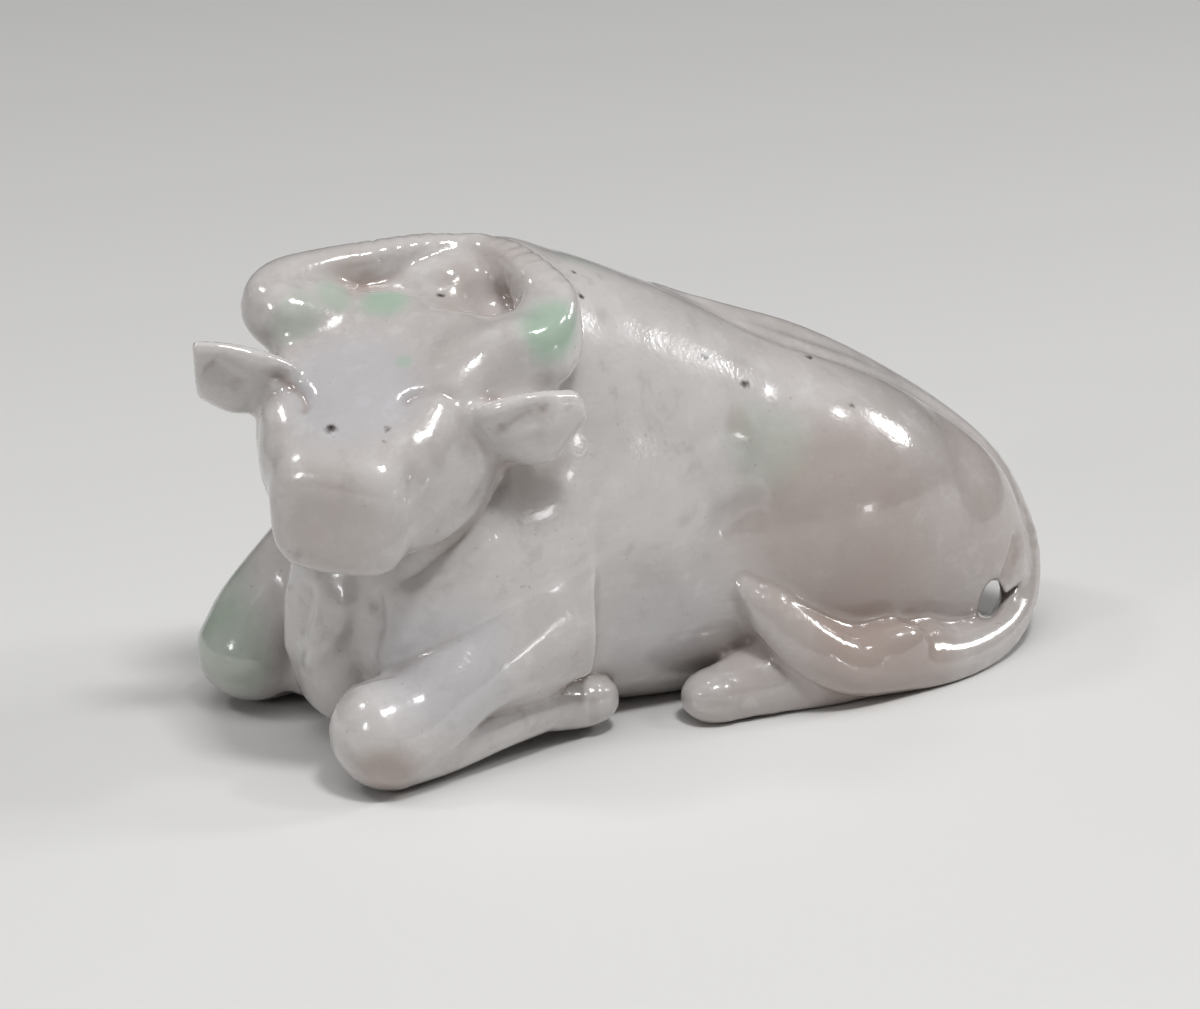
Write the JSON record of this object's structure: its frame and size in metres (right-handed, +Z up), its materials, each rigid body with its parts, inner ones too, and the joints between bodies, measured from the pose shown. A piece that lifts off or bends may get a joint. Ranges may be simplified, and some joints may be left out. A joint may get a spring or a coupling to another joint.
{
  "type": "jade buffalo figure",
  "caption": "Palm-sized carved stone water buffalo lying with folded legs, head turned to its left, horns laid back over the neck and tail wrapped round the haunch.",
  "frame": {"origin": "centre of the figure's bounding box in X and Y, on the flat underside it rests on", "axes": "+X from head to tail, -Y the animal's left side, which the head turns to, +Z up"},
  "size_m": [0.1172, 0.0502, 0.0626],
  "materials": {
    "jade": "polished, warm grey-white with lavender and brown clouds, green patches and a few dark flecks"
  },
  "bodies": {
    "root": {"buffalo": "jade"}
  },
  "joints": []
}
